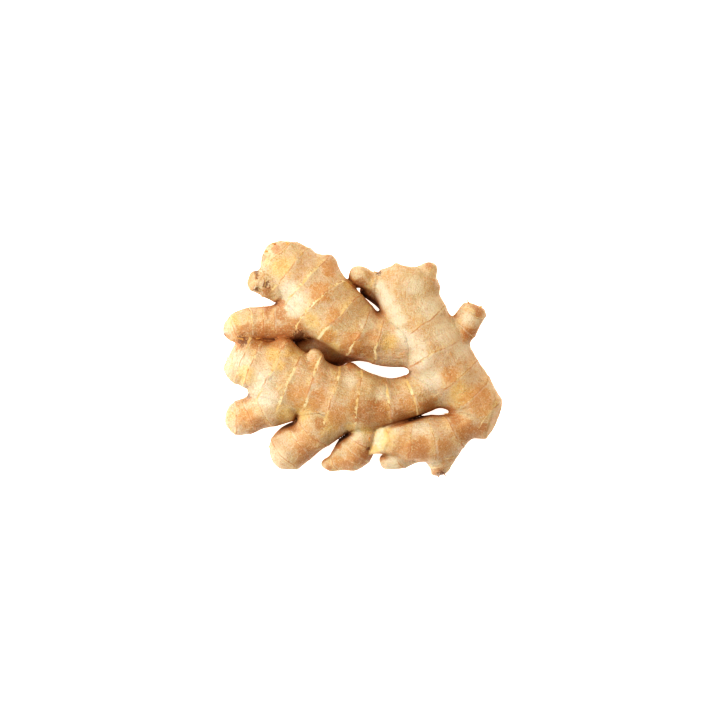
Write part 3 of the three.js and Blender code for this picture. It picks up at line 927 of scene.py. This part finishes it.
straw, tree, surface, place = new_finish("dry_scale_leaf")
patch = place.noise(0.15, 3, 0.6)
speck = place.noise(1.6, 2, 0.6)
colour = patch.ramp(0.4, 0.62).blend(LEAF_PAPER, OLD_PAPER)
colour = (0.6 * place.noise(0.3, 3, 0.6).ramp(0.56, 0.7)).blend(colour, RUST_AND_SHADE)
colour = (0.6 * speck.ramp(0.5, 0.75)).blend(colour, PAPER_SPECK)
tree.links.new(colour.socket, surface.inputs["Base Color"])
surface.inputs["Roughness"].default_value = 0.6
leaves.data.materials.append(straw)

# ---- Loose shreds ------------------------------------------------------------------------
# Wisps of dead scale leaf and root hair that hang on in the folds, at the notches and on the
# tips. Each is a thin curling strip, rooted in the skin and tapering to nothing.
SHRED_WALL_MM = 0.14
SHRED_STEPS = 8
# The share of its length that lies behind its seat, how deep it starts, and its half tip.
SHRED_BEHIND = 0.12
SHRED_SUNK_MM = 0.12
SHRED_TIP_MM = 0.03
SHREDS = [
    # x, y, z near the root, then the heading in degrees, the length and the width
    (-49, 32.6, 15, 182, 5.2, 1.1),
    (-64.6, -12.4, 13, 195, 3.6, 1.0),
    (-18, -41.5, 10, 255, 2.6, 1.4),
    (-44.5, 58.6, 20, 150, 2.4, 1.5),
    (-38.5, 58.4, 22, 120, 2.2, 2.0),
    (-48.5, 55.5, 20, 165, 2.4, 1.6),
    (55, 28.5, 22, 105, 2.6, 1.0),
    (60, 26, 22, 50, 1.8, 1.6),
    (-66, 11, 16, 350, 5.0, 1.6),
    (-63, 12.5, 17, 10, 4.6, 1.3),
    (-61, 9, 20, 160, 4.2, 1.8),
    (-56.5, 9.5, 19, 20, 4.4, 1.4),
    (-68, 9, 16, 200, 2.4, 1.2),
    (-70.5, 0, 16, 110, 2.6, 1.0),
    (-48.5, -44.5, 10, 300, 2.4, 1.0),
    (42.5, -60, 13, 300, 1.8, 1.4),
    (40, -60.5, 12, 250, 1.6, 1.6),
    (3.4, -40, 20, 250, 3.0, 0.8),
    (7.5, 44.5, 18, 130, 2.4, 1.4),
    (23.5, -7, 14, 220, 2.4, 0.9),
    (9, -34.8, 22, 150, 3.0, 1.1),
    (-31, 9.5, 18, 30, 3.0, 1.2),
    (46, -29, 18, 160, 3.2, 1.2),
]

draw = np.random.default_rng(83)
shred_places, shred_faces = [], []
for x, y, z, heading, length, width in SHREDS:
    seat, normal, _, _ = skin_tree.find_nearest(Vector((x, y, z)) * MM)
    seat, normal = np.array(seat) / MM, np.array(normal)
    turn = math.radians(heading)
    ahead = np.array([math.cos(turn), math.sin(turn), 0.0])
    ahead -= 0.8 * (ahead @ normal) * normal
    ahead /= np.linalg.norm(ahead)
    across = np.cross(ahead, normal)
    across /= np.linalg.norm(across)
    curl, sway = draw.uniform(0.1, 0.45), draw.uniform(-0.5, 0.5)
    start = len(shred_places)
    for t in np.linspace(0, 1, SHRED_STEPS):
        rise = curl * t**2 * length - SHRED_SUNK_MM
        middle = seat + (t - SHRED_BEHIND) * length * ahead + rise * normal
        middle = middle + 0.3 * sway * length * t**2 * across
        half = 0.5 * width * (1 - t) ** 0.6 * (1 + 0.25 * math.sin(9 * t + x)) + SHRED_TIP_MM
        tilt = sway * t * 2
        edge = math.cos(tilt) * across + math.sin(tilt) * normal
        shred_places += [middle - half * edge, middle + half * edge]
    for step in range(SHRED_STEPS - 1):
        a = start + 2 * step
        shred_faces.append((a, a + 1, a + 3, a + 2))
shreds = new_piece("loose_shreds", np.array(shred_places), shred_faces)
shred_wall = shreds.modifiers.new("wall", "SOLIDIFY")
shred_wall.thickness = SHRED_WALL_MM * MM
shred_wall.offset = 0
bpy.ops.object.modifier_apply(modifier="wall")
bpy.ops.object.shade_smooth_by_angle(angle=math.radians(35))
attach(shreds, "root")

HUSK = (0.62, 0.40, 0.17, 1)
husk, tree, surface, place = new_finish("brown_husk")
colour = place.noise(0.35, 3, 0.6).ramp(0.4, 0.62).blend(HUSK, RUST_AND_SHADE)
colour = (0.7 * place.noise(1.2, 2, 0.6).ramp(0.5, 0.7)).blend(colour, BRUISE_AND_SHADE)
tree.links.new(colour.socket, surface.inputs["Base Color"])
surface.inputs["Roughness"].default_value = 0.7
shreds.data.materials.append(husk)

# ---- Floor, light and camera -------------------------------------------------------------
# A sheet of white paper, a large soft light on the left and a weaker one opposite, and a
# camera that looks straight down.
bpy.ops.mesh.primitive_plane_add(size=4.0, location=(0, 0, 0))
floor = bpy.context.active_object
floor.name = "floor"
sheet = bpy.data.materials.new("pale_paper")
sheet.use_nodes = True
surface = sheet.node_tree.nodes["Principled BSDF"]
surface.inputs["Base Color"].default_value = (0.88, 0.88, 0.88, 1)
surface.inputs["Roughness"].default_value = 0.9
surface.inputs["Emission Color"].default_value = (1, 1, 1, 1)
surface.inputs["Emission Strength"].default_value = 0.5
floor.data.materials.append(sheet)


def softbox(name, azimuth, elevation, distance, size, watts, tint):
    """A round soft light that faces the root, placed by its direction as seen from the root."""
    lamp = bpy.data.lights.new(name, "AREA")
    lamp.shape = "DISK"
    lamp.size = size
    lamp.energy = watts
    lamp.color = tint
    turn, rise = math.radians(azimuth), math.radians(elevation)
    holder = bpy.data.objects.new(name, lamp)
    holder.location = distance * Vector(
        (math.cos(rise) * math.cos(turn), math.cos(rise) * math.sin(turn), math.sin(rise))
    )
    holder.rotation_euler = (-holder.location).to_track_quat("-Z", "Y").to_euler()
    bpy.context.collection.objects.link(holder)


softbox("key_softbox", azimuth=180, elevation=38, distance=1.1, size=0.8, watts=10, tint=(0.90, 0.97, 1))
softbox("fill_softbox", azimuth=60, elevation=50, distance=1.1, size=0.7, watts=4.2, tint=(1, 0.87, 0.68))
world = bpy.data.worlds.new("studio")
bpy.context.scene.world = world
world.use_nodes = True
world.node_tree.nodes["Background"].inputs["Color"].default_value = (1, 0.89, 0.71, 1)
world.node_tree.nodes["Background"].inputs["Strength"].default_value = 0.33

PIXEL_MM = 0.52
FRAME_PIXELS = 724
ROOT_CENTRE_PIXEL = (362.9, 359.5)
LENS, SENSOR = 90, 36
ROOT_MID_HEIGHT = 0.016
camera_data = bpy.data.cameras.new("camera")
camera_data.lens = LENS
camera_data.sensor_width = SENSOR
camera = bpy.data.objects.new("camera", camera_data)
bpy.context.collection.objects.link(camera)
across = (FRAME_PIXELS / 2 - ROOT_CENTRE_PIXEL[0]) * PIXEL_MM * MM
along = (ROOT_CENTRE_PIXEL[1] - FRAME_PIXELS / 2) * PIXEL_MM * MM
camera.location = (across, along, ROOT_MID_HEIGHT + FRAME_PIXELS * PIXEL_MM * MM * LENS / SENSOR)
bpy.context.scene.camera = camera
bpy.context.scene.view_settings.view_transform = "Standard"
bpy.context.scene.view_settings.look = "Very High Contrast"
